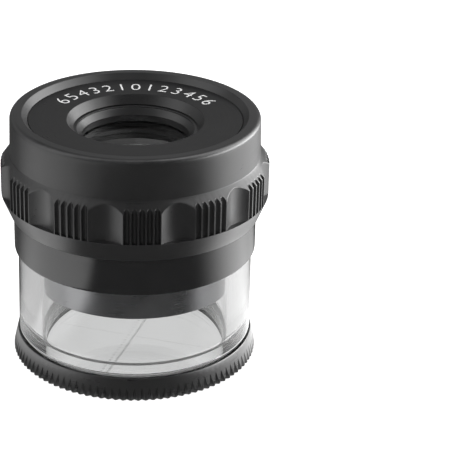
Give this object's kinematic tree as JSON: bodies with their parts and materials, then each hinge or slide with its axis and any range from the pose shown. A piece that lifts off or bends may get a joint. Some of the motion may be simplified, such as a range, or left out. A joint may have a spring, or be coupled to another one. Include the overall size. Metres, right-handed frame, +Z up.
{
  "type": "measuring magnifier",
  "caption": "Focusing loupe on a clear cylindrical skirt, with a knurled base ring that holds a graduated glass disc against the work.",
  "frame": {"origin": "centre of the flat face that the base ring rests on", "axes": "+Z up along the optical axis, from the graduated glass to the eye opening; -Y is the side that faces the picture's camera"},
  "size_m": [0.0484, 0.0486, 0.0464],
  "materials": {
    "black_anodised": "satin black anodised",
    "matt_black_metal": "matt black anodised",
    "clear_acrylic": "polished clear",
    "plate_glass": "polished",
    "crown_glass": "polished and coated",
    "flint_glass": "polished and coated",
    "black_rubber": "matt",
    "pin_steel": "ground"
  },
  "bodies": {
    "barrel_body": {"barrel": "black_anodised", "clear_skirt": "clear_acrylic", "drag_ring": "black_rubber", "guide_pin_left": "pin_steel", "guide_pin_right": "pin_steel"},
    "lens_carriage": {"lens_cell": "matt_black_metal", "rear_retaining_ring": "matt_black_metal", "field_flint_lens": "flint_glass", "field_crown_lens": "crown_glass", "lens_spacer": "matt_black_metal", "eye_crown_lens": "crown_glass", "eye_flint_lens": "flint_glass", "front_retaining_ring": "matt_black_metal"},
    "focus_head": {"focus_ring": "black_anodised", "face_plate": "black_anodised"},
    "reticle_carrier": {"reticle_glass": "plate_glass"},
    "base_nut": {"base_ring": "black_anodised"}
  },
  "joints": [
    {"name": "focus_travel", "type": "slide", "parent": "barrel_body", "child": "lens_carriage", "axis": [0, 0, 1], "range_m": [-0.0025, 0.0025]},
    {"name": "focus_turn", "type": "hinge", "parent": "lens_carriage", "child": "focus_head", "pos_m": [0, 0, 0.037], "axis": [0, 0, 1], "range_deg": [-150, 150]},
    {"name": "reticle_drop", "type": "slide", "parent": "barrel_body", "child": "reticle_carrier", "axis": [0, 0, -1], "range_m": [0, 0.00225]},
    {"name": "base_ring_turn", "type": "hinge", "parent": "reticle_carrier", "child": "base_nut", "pos_m": [0, 0, 0.0019], "axis": [0, 0, -1], "range_deg": [0, 1080]}
  ],
  "couplings": [
    {"joint": "focus_turn", "follows": "focus_travel", "rad_per_m": 1047.2},
    {"joint": "base_ring_turn", "follows": "reticle_drop", "rad_per_m": 8377.6}
  ]
}
